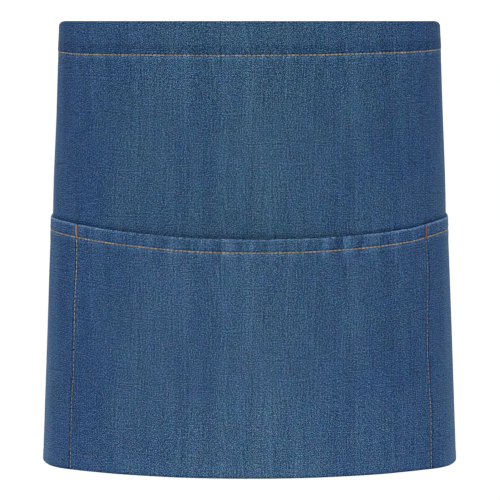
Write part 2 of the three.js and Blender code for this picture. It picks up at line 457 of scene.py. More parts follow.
def grid_piece(name, columns, rows, shape):
    """A grid of cloth with a vertex at each crossing of the flat columns and rows.

    shape turns their values into points in millimetres, and how worn and how faded the cloth is there,
    painted light and shade included.
    """
    bm = bmesh.new()
    bmesh.ops.create_grid(bm, x_segments=len(columns) - 1, y_segments=len(rows) - 1, size=0.5)
    mesh = mesh_of(name, bm)
    spots = points_of(mesh)
    shares = (spots - spots.min(0))[:, :2] / np.ptp(spots, axis=0)[:2]
    across = np.asarray(columns, float)[np.rint(shares[:, 0] * (len(columns) - 1)).astype(int)]
    down = np.asarray(rows, float)[np.rint((1 - shares[:, 1]) * (len(rows) - 1)).astype(int)]
    points, wear_and_painted_light, fade_and_painted_light = shape(across, down)
    mesh.vertices.foreach_set("co", (points * MM).ravel())
    note_on_cloth(mesh, wear_and_painted_light, fade_and_painted_light)
    note_flat_place(mesh, across, -down)
    return add_piece(name, mesh)


def finish_piece(piece, slot, materials, *nodes):
    for material in materials:
        piece.data.materials.append(material)
    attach(piece, "root")
    if nodes:
        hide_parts(*nodes)
    return piece


def give_thickness(piece):
    solid = piece.modifiers.new("two_faces", "SOLIDIFY")
    solid.thickness = CLOTH * MM
    solid.offset = 0
    solid.material_offset = 1
    solid.material_offset_rim = 1


def spaced(*stretches):
    """Values from one end to the other: each stretch is its start, its end and its step."""
    values = []
    for start, end, step in stretches:
        count = max(1, round(abs(end - start) / step))
        values.extend(np.linspace(start, end, count, endpoint=False))
    return values + [stretches[-1][1]]


def side_columns(step, fold):
    """Flat columns across a sheet whose sides are turned in, close together at the folds and the seams."""
    edge = HALF_WIDTH
    seam_step, turned_step = 0.8, 2.8
    return spaced(
        (-edge - SIDE_TURN, -edge - fold, turned_step), (-edge - fold, -edge + fold, fold / 3),
        (-edge + fold, -SEAM_ARC - 5, step), (-SEAM_ARC - 5, -SEAM_ARC + 6, seam_step),
        (-SEAM_ARC + 6, SEAM_ARC - 3, step),
        (SEAM_ARC - 3, SEAM_ARC + 9, seam_step), (SEAM_ARC + 9, edge - fold, step),
        (edge - fold, edge + fold, fold / 3), (edge + fold, edge + SIDE_TURN, turned_step),
    )


def turned_sides(across, fold, edge, main, turned):
    """Where the columns of a sheet lie when its sides are turned in.

    main and turned are (offset, drop) of the outer layer and of the layer turned in. Returns the arc,
    the offset and the drop.
    """
    left = HALF_WIDTH - np.abs(across)
    angle = QUARTER_TURN * (1 - np.clip(left / fold, -1, 1))
    share = (1 - np.cos(angle)) / 2
    offset = mix(main[0], turned[0], share)
    drop = mix(main[1], turned[1], share)
    radius = np.abs(main[0] - turned[0]) / 2
    beyond = np.maximum(-left - fold, 0)
    on_fold = edge - radius + radius * np.sin(angle) - beyond
    slide = (edge - radius) - (HALF_WIDTH - fold)
    on_main = np.abs(across) + slide * ease(np.abs(across), HALF_WIDTH - 10, HALF_WIDTH - fold)
    arc = np.where(left > fold, on_main, on_fold)
    return np.where(across < 0, -arc, arc), offset, drop


def near_ends(across):
    """1 where the side hem lies under a turned edge, and 0 over the rest of the width."""
    return ease(np.abs(across), HALF_WIDTH - SIDE_TURN - 10, HALF_WIDTH - SIDE_TURN)


def shape_panel(across, down):
    """The panel, its top turned in as the waistband and its sides turned in as hems."""
    arc = np.clip(across, -HALF_WIDTH, HALF_WIDTH)
    small = LAYER / 2
    fold = TURNED_FOLD
    angle = QUARTER_TURN * np.clip(down / fold, -1, 1)
    beyond = np.maximum(np.abs(down) - fold, 0)
    radius = small * (1 + 2 * near_ends(across))
    top = top_drop(arc)
    hem_reach = (waist_line(arc) + WAIST_TURN_PAST_STITCHES - top - radius) / WAIST_TURN
    body_reach = (PANEL_ENDS - top - radius) / (PANEL_ENDS - fold)
    reach = beyond * np.where(down < 0, hem_reach, body_reach)
    drop = top + radius * (1 - np.cos(angle)) + reach
    turned_drop = top + radius - small + small * (1 - np.cos(angle)) + reach
    middle = -CLOTH / 2
    offset = middle - radius * (1 - np.sin(angle))
    turned_offset = middle - 3 * small + small * np.sin(angle)
    arc, offset, drop = turned_sides(
        across, fold, HALF_WIDTH - CLOTH / 2, (offset, drop), (turned_offset, turned_drop)
    )
    offset = offset + panel_relief(arc, drop)
    return cloth_point(arc, drop, offset), panel_wear_and_painted_light(arc, drop), fade_and_painted_light_share(arc)


def shape_pocket(across, down):
    """The pocket, its mouth turned in, and its sides and bottom turned round the panel's edges."""
    arc = np.clip(across, -HALF_WIDTH, HALF_WIDTH)
    small = LAYER / 2
    fold = TURNED_FOLD
    large = POCKET_DEPTH - down
    large_fold = BOTTOM_FOLD
    angle = QUARTER_TURN * np.clip(down / fold, -1, 1)
    low_angle = QUARTER_TURN * np.clip(large / large_fold, -1, 1)
    mouth = mouth_drop(arc)
    wrapped = -CLOTH / 2 - 2 * LAYER
    bottom_inside = -CLOTH / 2 - LAYER * (1 + 3 * near_ends(across))
    low_radius = (pocket_gap(arc, LENGTH) + CLOTH / 2 - bottom_inside) / 2
    lowest = low_drop(arc) - low_radius
    share = np.clip((down - fold) / (POCKET_DEPTH - fold - large_fold), 0, 1)
    body = mix(mouth + small, lowest, share)
    inside_hem = mouth + small * (1 - np.cos(angle)) + np.maximum(-down - fold, 0)
    turned_up = np.maximum(-large - large_fold, 0)
    under_hem = low_drop(arc) - low_radius * (1 - np.cos(low_angle)) - turned_up
    side_under_hem = lowest + small * np.cos(low_angle) - turned_up
    drop = np.where(down < fold, inside_hem, np.where(large < large_fold, under_hem, body))
    side_drop = np.where(large < large_fold, side_under_hem, drop)
    gap = pocket_gap(arc, drop) + CLOTH / 2
    under = LAYER * hem_share(arc, drop)
    offset = gap - small * (1 - np.sin(angle)) - low_radius * (1 - np.sin(low_angle))
    side_offset = wrapped - under + small * (1 - np.sin(angle)) - small * (1 - np.sin(low_angle))
    edge = HALF_WIDTH + CLOTH / 2 + 0.1 + under * (1 + np.sin(angle)) / 2
    arc, offset, drop = turned_sides(across, SIDE_FOLD, edge, (offset, drop), (side_offset, side_drop))
    relief = pocket_relief(arc, drop) * (1 - ease(-large, -2, 0))
    return cloth_point(arc, drop, offset + relief), pocket_wear_and_painted_light(arc, drop), fade_and_painted_light_share(arc)


def lines_beside(past, lines):
    """The sum of some soft lines, each given as its strength, its place and its width."""
    return sum(strength * bump(past, place, reach) for strength, place, reach in lines)


def rubbed_edges_and_painted_sheen(arc):
    """The free edges are rubbed pale, and the cloth past the bends is painted a little paler than the
    front, a painted sheen where the sides turn away.
    """
    away = np.abs(arc)
    return 0.5 * bump(away, HALF_WIDTH, 1.5) + 0.42 * ease(away, 180, 225)


def panel_wear_and_painted_light(arc, drop):
    """How far the indigo is rubbed off the panel, up to 1, darker along the top fold, with painted light
    and shade added: below 0 for the painted shadow above the pocket's mouth and the painted shade above the
    stitching, and a painted sheen at the sides.
    """
    below = drop - waist_line(arc)
    edge = -0.1 * bump(drop, top_drop(arc), 2)
    imprint = 0.1 * bump(below, -TURNED_EDGE_ABOVE + 0.1, 1.1) * (0.7 + 0.3 * ripple(arc, 17, 33))
    puckers = 0.15 * waist_puckers(arc, below)
    # painted shadow: darker just above the pocket's mouth, more towards the sides, where the pocket's edge
    # shades the panel
    under_mouth = -(0.15 + 0.4 * ease(np.abs(arc), 60, 170)) * bump(drop, mouth_drop(arc), 2.6)
    # paler on the rubbed ridge below the stitching, and painted shade in the groove above it
    stitches = lines_beside(below, RUBBED_AND_PAINTED_SHADE_BY_WAIST_LINE)
    total = edge + stitches + imprint + puckers + under_mouth + rubbed_edges_and_painted_sheen(arc)
    return np.clip(total, -0.6, 1)


def pocket_wear_and_painted_light(arc, drop):
    """How far the indigo is rubbed off the pocket, up to 1, with painted light and shade added: the mouth's
    fold partly rubbed and partly a painted highlight, below 0 for painted shade in the seams' and the
    stitching's grooves and under the bottom fold, and a painted sheen at the sides.
    """
    below = drop - mouth_drop(arc)
    # the mouth's fold: partly rubbed pale, partly a painted highlight where the fold faces the light
    edge = bump(below, 0.2, 0.8) * (0.34 + 0.35 * ripple(arc, 6, 41) + 0.55 * ease(np.abs(arc), 80, 170))
    puckers = 0.42 * hem_puckers(arc, below) * ease(below, -2, 2) * (1 - ease(below, 11, 24))
    puckers = (puckers - 0.04) * (0.5 + 0.5 * bump(arc, 0, 140))
    band = 0.1 * ease(np.abs(arc), 100, 170) * ease(below, 0, 3) * (1 - ease(below, 11, 14))
    low_middle = 0.08 * ease(drop, 300, 360) * bump(arc, 0, 100)
    off_seam = np.abs(np.abs(arc) - seam_arc(arc, drop))
    seams = 0.1 * bump(off_seam, 3.6, 1.2) * (0.7 + 0.3 * ripple(drop, SEAM_PUCKER_PITCH, 9))
    # painted shade: a dark line just beside each seam, where its groove is shaded
    seams = seams - 0.35 * bump(off_seam, 1.3, 0.9)
    # paler on the rubbed ridge below the stitching, and painted shade in the groove above it
    stitches = lines_beside(below - POCKET_STITCHING, RUBBED_AND_PAINTED_SHADE_BY_POCKET_LINE)
    # a little paler above the bottom hem, and painted shade along the underside of the bottom fold, which
    # the white floor lights
    bottom = 0.05 * ease(drop, 380, 392) - 0.45 * bump(drop, low_drop(arc), 1.4)
    total = edge + puckers + band + low_middle + seams + stitches + bottom + rubbed_edges_and_painted_sheen(arc)
    return np.clip(total, -0.6, 1)


# Sewing


def facing(place, arc, drop):
    """A point of a face of the cloth, and the unit way outwards there."""
    point = place(arc, drop)
    round_way = place(arc + 0.5, drop) - place(arc - 0.5, drop)
    down_way = place(arc, drop + 0.5) - place(arc, drop - 0.5)
    out = np.cross(down_way, round_way)
    return point, out / np.linalg.norm(out, axis=-1, keepdims=True)


def on_outer_face(arc, drop):
    return cloth_point(arc, drop, outer_face(arc, drop))


def on_pocket(arc, drop):
    return cloth_point(arc, drop, pocket_face(arc, drop))


def on_waistband_inside(arc, drop):
    inner = -CLOTH - LAYER * (1 + 2 * near_ends(arc))
    return cloth_point(arc, drop, inner + panel_relief(arc, drop))


def on_panel_inside(arc, drop):
    return cloth_point(arc, drop, -CLOTH + panel_relief(arc, drop))


# The rounded shape of one stitch, a metre in size
BEAD = round_mesh("bead", 6, 5, 0.5)


def add_bead(bm, point, way, out, length, width, height):
    """One stitch: a rounded bead lying along way on a face that looks out."""
    way = way / np.linalg.norm(way)
    aside = np.cross(out, way)
    aside = aside / np.linalg.norm(aside)
    out = np.cross(way, aside)
    placed = Matrix.Identity(4)
    for column, (axis, size) in enumerate(((aside, width), (out, height), (way, length))):
        for row in range(3):
            placed[row][column] = axis[row] * size * MM
    for row in range(3):
        placed[row][3] = point[row] * MM
    bead = BEAD.copy()
    bead.transform(placed)
    bm.from_mesh(bead)
    bpy.data.meshes.remove(bead)


def sew(bm, points, outs, inwards=False, stitch=STITCH, seed=1):
    """A row of stitches along a line of points, with the way outwards at each."""
    length, width, height = stitch
    draw = np.random.default_rng(seed)
    steps = np.linalg.norm(np.diff(points, axis=0), axis=1)
    run = np.append(0, np.cumsum(steps))
    count = int(run[-1] / STITCH_PITCH)
    pitch = run[-1] / count
    for number in range(count):
        middle = (number + 0.5) * pitch + draw.uniform(-0.15, 0.15)
        ends = [
            np.array([np.interp(spot, run, points[:, axis]) for axis in range(3)])
            for spot in (middle - 0.6, middle + 0.6)
        ]
        out = np.array([np.interp(middle, run, outs[:, axis]) for axis in range(3)])
        if inwards:
            out = -out
        way = ends[1] - ends[0]
        aside = np.cross(out, way)
        way = way + aside * draw.uniform(-0.07, 0.07)
        long = length * draw.uniform(0.93, 1.07)
        wide = width * draw.uniform(0.9, 1.1)
        add_bead(bm, (ends[0] + ends[1]) / 2, way, out, long, wide, height)


def sew_line(name, material, lines, place, **kwargs):
    """One piece of stitching on one face: each line is its arcs and drops."""
    bm = bmesh.new()
    for number, (arcs, drops) in enumerate(lines):
        points, outs = facing(place, np.asarray(arcs, float), np.asarray(drops, float))
        sew(bm, points, outs, seed=len(name) + number, **kwargs)
    return finish_piece(add_piece(name, mesh_of(name, bm)), "thread", [material])


def make_tack(name, side, painted_shade_padding, cover, node):
    """A bar tack at the top of a pocket seam: a wide under-layer in a darker rust, painted shade for the
    tack's flanks, under a narrower row of cross threads.
    """
    bm = bmesh.new()
    draw = np.random.default_rng(60 + side)
    top = float(mouth_drop(side * TACK_ARC))
    drops = top + 0.4 + TACK_LENGTH * (np.arange(TACK_THREADS) + 0.5) / TACK_THREADS
    arcs = side * np.array([float(seam_arc(np.float64(side), d)) for d in drops])
    points, outs = facing(on_pocket, arcs, drops)
    down = points[-1] - points[0]
    for layer, (wide, high, lift) in enumerate(TACK_LAYERS):
        made = len(bm.faces)
        for point, out in zip(points, outs):
            cross = np.cross(out, down)
            slant = down / np.linalg.norm(down) * draw.uniform(0.04, 0.22)
            cross = cross / np.linalg.norm(cross) + slant
            long = wide * draw.uniform(0.9, 1.08)
            add_bead(bm, point + out * lift, cross, out, long, TACK_THREAD, high)
        bm.faces.ensure_lookup_table()
        for face in bm.faces[made:]:
            face.material_index = layer
    return finish_piece(add_piece(name, mesh_of(name, bm)), "thread", [painted_shade_padding, cover], node)


# Ties


def strap_section(turn, width, thickness, creases, crease_depth):
    """A point on the outline of a flat strap: turn goes once round it, from 0 to 1."""
    on_front = turn < 0.5
    x = np.where(on_front, 4 * turn - 1, 3 - 4 * turn)
    x = np.sin(x * QUARTER_TURN) * 0.35 + x * 0.65
    edge = np.sqrt(np.maximum(1 - np.abs(x) ** 7, 0))
    hollow = 1 - 0.22 * bump(np.abs(x), 0.72, 0.07) - 0.1 * bump(x, 0, 0.5)
    z = np.where(on_front, 1, -1) * thickness / 2 * edge * hollow
    return x * width / 2, z + crease_depth * edge * np.sin(creases * math.pi * (x + 1))


def strap_ways(path, across_ways, closed=False):
    """The way outwards from a strap's face and the way across it, at each point of its path."""
    if closed:
        ahead = np.roll(path[:-1], -1, axis=0) - np.roll(path[:-1], 1, axis=0)
        ahead = np.vstack([ahead, ahead[:1]])
    else:
        ahead = np.gradient(path, axis=0)
    ahead /= np.linalg.norm(ahead, axis=1, keepdims=True)
    outs = np.cross(across_ways, ahead)
    outs /= np.linalg.norm(outs, axis=1, keepdims=True)
    return outs, np.cross(ahead, outs)


def make_strap(name, path, across_ways, widths, thicknesses, crease_depths, creases=3.0, closed=False):
    """A flat strap swept along a path: at each point its width runs along the way across."""
    path, across_ways = np.asarray(path, float), np.asarray(across_ways, float)
    widths, thicknesses = np.asarray(widths), np.asarray(thicknesses)
    crease_depths = np.asarray(crease_depths)
    count = len(path)
    run = np.append(0, np.cumsum(np.linalg.norm(np.diff(path, axis=0), axis=1)))
    outs, wides = strap_ways(path, across_ways, closed)

    def shape(turn, step):
        at = np.rint(step).astype(int)
        x, z = strap_section(turn, widths[at], thicknesses[at], creases, crease_depths[at])
        points = path[at] + wides[at] * x[:, None] + outs[at] * z[:, None]
        aside = np.abs(x) / (widths[at] / 2)
        return points, 0.5 * ease(aside, 0.9, 1) + 0.15 * bump(aside, 0.66, 0.1), STRAP_FADE

    piece = grid_piece(name, np.linspace(0, 1, 45), np.arange(count), shape)
    flat = piece.data.uv_layers["flat"].data
    values = np.empty(len(flat) * 2)
    flat.foreach_get("uv", values)
    values = values.reshape(-1, 2)
    around, step = values[:, 0] / MM, -values[:, 1] / MM
    across = np.where(around < 0.5, around, 1 - around) * 2 * widths[np.rint(step).astype(int)]
    along = np.interp(step, np.arange(count), run)
    flat.foreach_set("uv", (np.stack([across, along], axis=-1) * MM).ravel())
    bm = bmesh.new()
    bm.from_mesh(piece.data)
    bmesh.ops.remove_doubles(bm, verts=bm.verts, dist=0.00001)
    if not closed:
        bmesh.ops.holes_fill(bm, edges=[e for e in bm.edges if e.is_boundary])
    bmesh.ops.recalc_face_normals(bm, faces=bm.faces)
    bm.to_mesh(piece.data)
    bm.free()
    return piece


KNOT_OFFSET = -CLOTH - 2 * LAYER - 1.0
BACK_AT_KNOT = BACK_DEPTH[0] + BACK_DEPTH[1] * TOP / LENGTH
KNOT_CENTRE = np.array([0, BACK_AT_KNOT + KNOT_OFFSET, 0])
TIE_ENDS = BACK_HALF_ROUND - KNOT_WIDTH / 2 + 3


def tie_line(side):
    """The middle line of a tie, from inside the waistband to the knot, and how gathered it is."""
    arc = np.array(spaced((HALF_WIDTH - TIE_SEWN, HALF_WIDTH + 10, 2), (HALF_WIDTH + 10, TIE_ENDS, 1.6)))
    drop = TOP + TOP_DIP * (1 - ease(arc, HALF_WIDTH, TIE_ENDS))
    sewn = -CLOTH - 3 * LAYER - TIE_THICKNESS / 2 - 0.1
    offset = mix(sewn, KNOT_OFFSET, ease(arc, HALF_WIDTH - 2, HALF_WIDTH + 22))
    points = cloth_point(side * arc, TOP, offset)
    sway = 0.7 * np.sin((arc - HALF_WIDTH) / 20) * ease(arc, HALF_WIDTH, HALF_WIDTH + 20)
    points[:, 2] = TOP - drop + sway
    return points, ease(arc, TIE_ENDS - GATHER_LENGTH - 6, TIE_ENDS - 4)


def make_tie(name, side, material, node):
    points, gather = tie_line(side)
    up = np.tile([0.0, 0, 1], (len(points), 1))
    width = mix(TIE_WIDTH, GATHERED_WIDTH, gather)
    thickness = mix(TIE_THICKNESS, GATHERED_THICKNESS, gather)
    piece = make_strap(name, points, up, width, thickness, 1.1 * gather, creases=2.5)
    return finish_piece(piece, "denim", [material], node)


def tail_line(side):
    """The middle line of a loose end, the way across it, how far it has spread, and its width."""
    fall = np.array(spaced((-5, 60, 2.2), (60, TAIL_LENGTH - 12, 5), (TAIL_LENGTH - 12, TAIL_LENGTH, 1.5)))
    share = np.clip(fall / TAIL_LENGTH, 0, 1)
    spread = ease(fall, 0, 60)
    width = mix(GATHERED_WIDTH / 2 + 1, TIE_WIDTH, spread)
    apart = TAIL_SPREAD * ease(fall, 0, TAIL_LENGTH) + 1.2 * spread * np.sin(share * 7 + side)
    aside = side * (width / 2 + 0.3 + apart)
    leaning = BACK_DEPTH[1] * np.maximum(fall, 0) / LENGTH
    back = KNOT_CENTRE[1] + leaning + 1.6 * spread * np.sin(share * 6 - side)
    points = np.stack([aside, back, -KNOT_HEIGHT / 2 - fall], axis=-1)
    turn = side * 0.5 * spread * np.cos(math.pi * share)
    across = np.stack([np.cos(turn), np.sin(turn), 0 * turn], axis=-1)
    return points, across, spread, width


def make_tail(name, side, material, node):
    points, across, spread, width = tail_line(side)
    thickness = mix(TAIL_GATHERED_THICKNESS, TIE_THICKNESS, spread)
    thickness[-7:-1] += TAIL_END_FOLD
    crease_depths = 1.3 * (1 - spread) * (1 - 0.2 * side)
    piece = make_strap(name, points, across, width, thickness, crease_depths, creases=1.5)
    return finish_piece(piece, "denim", [material], node)


def strap_stitches(bm, points, across_ways, width, thickness, first, last, seed):
    """Edge stitching along both long edges of a strap, on both of its faces."""
    outs, wides = strap_ways(points, across_ways)
    for edge in (-1, 1):
        for face in (-1, 1):
            lift = face * thickness / 2 * HEIGHT_AT_STITCHES
            beside = edge * (width / 2 - TIE_STITCH_INSET)
            line = points + wides * beside[:, None] + outs * lift[:, None]
            ways = face * outs[first:last]
            sew(bm, line[first:last], ways, stitch=TIE_STITCH, seed=seed + edge + 3 * face)


def make_tie_stitching(name, material):
    bm = bmesh.new()
    for side in (-1, 1):
        points, gather = tie_line(side)
        up = np.tile([0.0, 0, 1], (len(points), 1))
        width = np.full(len(points), float(TIE_WIDTH))
        thickness = np.full(len(points), TIE_THICKNESS)
        free = int(np.argmax(gather > 0.12))
        strap_stitches(bm, points, up, width, thickness, 1, free, 70 + side)
        points, across, spread, width = tail_line(side)
        start = int(np.argmax(spread > 0.9))
        thickness = np.full(len(points), TIE_THICKNESS)
        strap_stitches(bm, points, across, width, thickness, start, len(points) - 1, 80 + side)
    return finish_piece(add_piece(name, mesh_of(name, bm)), "thread", [material])


def make_knot_core(name, material, node):
    """The hidden middle of the knot, a creased lump that the straps go into."""
    mesh = round_mesh(name, 56, 32, 1)
    ways = points_of(mesh)
    squared = (np.abs(ways) ** KNOT_SQUARENESS).sum(1) ** (-1 / KNOT_SQUARENESS)
    round_x = np.arctan2(ways[:, 2], ways[:, 1])
    creased = 1 + 0.05 * np.sin(6 * round_x + 3 * ways[:, 0]) * (1 - ways[:, 0] ** 2)
    size = np.array([KNOT_WIDTH, KNOT_DEPTH - 3, KNOT_HEIGHT - 3]) / 2
    points = KNOT_CENTRE + ways * (squared * creased)[:, None] * size
    mesh.vertices.foreach_set("co", (points * MM).ravel())
    note_on_cloth(mesh, 0.1, STRAP_FADE)
    note_flat_place(mesh, points[:, 0], round_x * 8)
    return finish_piece(add_piece(name, mesh), "denim", [material], node)


def make_knot_turn(name, material, node):
    """The turn of strap round the knot, leaning to one side and level over the top."""
    angle = np.linspace(0, 2 * math.pi, 49)
    deep, high = 0.98 * (KNOT_DEPTH / 2 - 0.7), 0.98 * (KNOT_HEIGHT / 2 - 1.3)
    round_way = np.abs(np.stack([np.sin(angle), np.cos(angle)]))
    squeeze = (round_way ** KNOT_SQUARENESS).sum(0) ** (-1 / KNOT_SQUARENESS)
    y, z = deep * squeeze * np.sin(angle), high * squeeze * np.cos(angle)
    x = KNOT_TURN_SHIFT + math.tan(KNOT_TURN_LEAN) * z * 0.42
    path = KNOT_CENTRE + np.stack([x, y, z], axis=-1)
    tilt = KNOT_TURN_LEAN * np.abs(np.sin(angle))
    across = np.stack([np.cos(tilt), 0 * tilt, -np.sin(tilt)], axis=-1)
    widths = KNOT_TURN_WIDTH * (1 + 0.1 * np.sin(angle * 2 + KNOT_TURN_LEAN * 9))
    depths = 0.55 + 0.2 * np.sin(angle * 3 + KNOT_TURN_SHIFT)
    depths[-1], widths[-1] = depths[0], widths[0]
    thicknesses = np.full(len(path), KNOT_TURN_THICKNESS)
    piece = make_strap(name, path, across, widths, thicknesses, depths, creases=2.5, closed=True)
    return finish_piece(piece, "denim", [material], node)


# Materials

# Threads to the metre, across and along the cloth, for the weave's parts
TWILL_PITCH = (590, -300)
GRAIN_PITCH = (1380, 1480)
YARN_PITCH = (1480, 1180)
WARP_PITCH = 385
WEFT_PITCH = 535

# Between these gammas, equal steps of a value look equal
EVEN_STEPS = 2.2

# The darkest and the palest colour of each denim
PANEL_INDIGO = ((0.0105, 0.0470, 0.134), (0.0185, 0.0650, 0.127))
POCKET_INDIGO = ((0.0120, 0.0500, 0.140), (0.0235, 0.0730, 0.148))
REVERSE_GREY = ((0.17, 0.22, 0.28), (0.24, 0.29, 0.34))

# The dark and the light colour of each thread
TAN = ((0.125, 0.097, 0.062), (0.43, 0.36, 0.235))
PALE = ((0.15, 0.125, 0.09), (0.45, 0.415, 0.30))
RUST = ((0.20, 0.080, 0.045), (0.47, 0.27, 0.18))
# painted shade: a near-black rust for the bar tacks' wide under-layer, standing in for the shade on their
# sloping flanks
RUST_IN_PAINTED_SHADE = ((0.045, 0.025, 0.025), (0.10, 0.055, 0.05))


def add_node(tree, kind, inputs=None, **settings):
    """A shader node with its settings, and its inputs linked or set."""
    made = tree.nodes.new(kind)
    for name, value in settings.items():
        setattr(made, name, value)
    for key, value in (inputs or {}).items():
        if isinstance(value, bpy.types.NodeSocket):
            tree.links.new(value, made.inputs[key])
        else:
            made.inputs[key].default_value = value
    return made


def calc(tree, operation, first, second=0.0, third=0.0, clamp=False):
    values = {0: first, 1: second, 2: third}
    return add_node(tree, "ShaderNodeMath", values, operation=operation, use_clamp=clamp).outputs[0]


def sums(tree, base, parts):
    """The base and each part times its own strength."""
    for part, strength in parts:
        base = calc(tree, "MULTIPLY_ADD", part, strength, base)
    return base


def tint(tree, share, first, second):
    values = {0: share, 6: first, 7: second}
    return add_node(tree, "ShaderNodeMix", values, data_type="RGBA").outputs[2]


def stretched_noise(tree, vector, scale, detail=1.0):
    """Noise round 0, with so many features to the metre across and along as scale says."""
    values = {0: vector, 1: (*scale, 1), 2: (0, 0, sum(scale))}
    scaled = add_node(tree, "ShaderNodeVectorMath", values, operation="MULTIPLY_ADD").outputs[0]
    made = add_node(tree, "ShaderNodeTexNoise", {"Vector": scaled, "Scale": 1, "Detail": detail})
    return calc(tree, "SUBTRACT", made.outputs[0], 0.5)


def broken_lines(tree, vector, across, pitch, wander, lengths):
    """Fine threads side by side, pitch of them to the metre, that wander and fade in and out."""
    straight = calc(tree, "MULTIPLY", across, pitch)
    drift = calc(tree, "MULTIPLY_ADD", stretched_noise(tree, vector, wander), 5, straight)
    wave = calc(tree, "SINE", calc(tree, "MULTIPLY", drift, 2 * math.pi))
    strength = calc(tree, "MULTIPLY_ADD", stretched_noise(tree, vector, lengths), 2, 0.4)
    return calc(tree, "MULTIPLY", wave, strength)


def new_group(name, inputs, outputs):
    tree = bpy.data.node_groups.new(name, "ShaderNodeTree")
    for socket, kind, value in inputs:
        made = tree.interface.new_socket(socket, in_out="INPUT", socket_type=kind)
        made.default_value = value
    for socket, kind in outputs:
        tree.interface.new_socket(socket, in_out="OUTPUT", socket_type=kind)
    return tree, tree.nodes.new("NodeGroupInput").outputs, tree.nodes.new("NodeGroupOutput").inputs


def make_threads(tree, flat):
    """The twill's slanting lines, and how much lighter or darker all the threads together are."""
    split = add_node(tree, "ShaderNodeSeparateXYZ", {0: flat})
    across, along = split.outputs[0], split.outputs[1]
    lean = calc(tree, "MULTIPLY", along, TWILL_PITCH[1])
    straight = calc(tree, "MULTIPLY_ADD", across, TWILL_PITCH[0], lean)
    wavering = calc(tree, "MULTIPLY_ADD", stretched_noise(tree, flat, (260, 260), 2), 1.2, straight)
    twill = calc(tree, "SINE", calc(tree, "MULTIPLY", wavering, 2 * math.pi))
    grain = stretched_noise(tree, flat, GRAIN_PITCH, 0)
    warp = broken_lines(tree, flat, across, WARP_PITCH, (70, 9), (230, 80))
    weft = broken_lines(tree, flat, along, WEFT_PITCH, (12, 70), (90, 230))
    row = calc(tree, "FLOOR", calc(tree, "MULTIPLY", along, YARN_PITCH[1]))
    stepped_over = calc(tree, "MULTIPLY_ADD", across, YARN_PITCH[0], calc(tree, "DIVIDE", row, 3))
    column = calc(tree, "FLOOR", stepped_over)
    crossing = add_node(tree, "ShaderNodeCombineXYZ", {0: column, 1: row}).outputs[0]
    shade = add_node(tree, "ShaderNodeTexWhiteNoise", {"Vector": crossing}, noise_dimensions="2D")
    yarns = calc(tree, "SUBTRACT", shade.outputs["Value"], 0.5)
    weave = calc(tree, "MULTIPLY", twill, 0.02)
    return twill, sums(tree, weave, ((grain, 1.03), (yarns, 0.1), (warp, 0.06), (weft, 0.06)))


def make_denim_weave():
    """Washed denim: fine twill with slubs both ways, cloudy indigo, and rubbed places that are paler, with
    painted light and shade brought in along with the rubbing and the fading.

    The light and dark of the weave is added where equal steps look equal, between two gammas.
    """
    tree, given, out = new_group(
        "denim_weave",
        [
            ("Flat", "NodeSocketVector", (0, 0, 0)),
            ("Wear_and_painted_light", "NodeSocketFloat", 0),
            ("Fade", "NodeSocketFloat", 0),
            ("Deep", "NodeSocketColor", (0, 0, 0, 1)),
            ("Faded", "NodeSocketColor", (0, 0, 0, 1)),
            ("Contrast", "NodeSocketFloat", 1),
        ],
        [("Color", "NodeSocketColor"), ("Roughness", "NodeSocketFloat"), ("Height", "NodeSocketFloat")],
    )
    flat = given["Flat"]
    twill, weave = make_threads(tree, flat)
    streaks = stretched_noise(tree, flat, (110, 10), 2)
    bands = stretched_noise(tree, flat, (34, 6), 1)
    lighter = calc(tree, "MULTIPLY_ADD", weave, given["Contrast"], -0.011)
    # the cloth's rubbed places, its painted highlights and its painted shade all lighten or darken it here
    lighter = sums(tree, lighter, ((streaks, 0.09), (bands, 0.065), (given["Wear_and_painted_light"], 0.22)))
    clouds = stretched_noise(tree, flat, (15, 10), 3)
    # the faded share also carries painted light and shade across the width
    share = calc(tree, "MULTIPLY_ADD", clouds, 1.3, given["Fade"], clamp=True)
    indigo = tint(tree, share, given["Deep"], given["Faded"])
    seen = add_node(tree, "ShaderNodeGamma", {"Color": indigo, "Gamma": 1 / EVEN_STEPS})
    step = add_node(tree, "ShaderNodeCombineXYZ", {0: lighter, 1: lighter, 2: lighter}).outputs[0]
    violet = stretched_noise(tree, flat, (75, 70), 1)
    teal = stretched_noise(tree, flat, (62, 58), 1)
    for part, way in ((violet, (0.035, -0.025, 0.03)), (teal, (-0.025, 0.012, 0.04))):
        values = {0: part, 1: way, 2: step}
        step = add_node(tree, "ShaderNodeVectorMath", values, operation="MULTIPLY_ADD").outputs[0]
    stepped = add_node(tree, "ShaderNodeVectorMath", {0: seen.outputs[0], 1: step}, operation="ADD")
    kept = add_node(
        tree, "ShaderNodeVectorMath", {0: stepped.outputs[0], 1: (0.04, 0.04, 0.04)}, operation="MAXIMUM"
    )
    color = add_node(tree, "ShaderNodeGamma", {"Color": kept.outputs[0], "Gamma": EVEN_STEPS})
    tree.links.new(color.outputs[0], out["Color"])
    tree.links.new(calc(tree, "MULTIPLY_ADD", weave, -0.3, 0.9), out["Roughness"])
    tree.links.new(calc(tree, "MULTIPLY_ADD", twill, 0.08, weave), out["Height"])
    return tree


def new_material(name):
    material = bpy.data.materials.new(name)
    material.use_nodes = True
    shader = material.node_tree.nodes["Principled BSDF"]
    return material, material.node_tree, shader


def make_bump(tree, height, distance):
    """The directions of a face with its fine relief, which is up to this distance in metres high."""
    values = {"Height": height, "Strength": 0.5, "Distance": distance}
    return add_node(tree, "ShaderNodeBump", values).outputs[0]


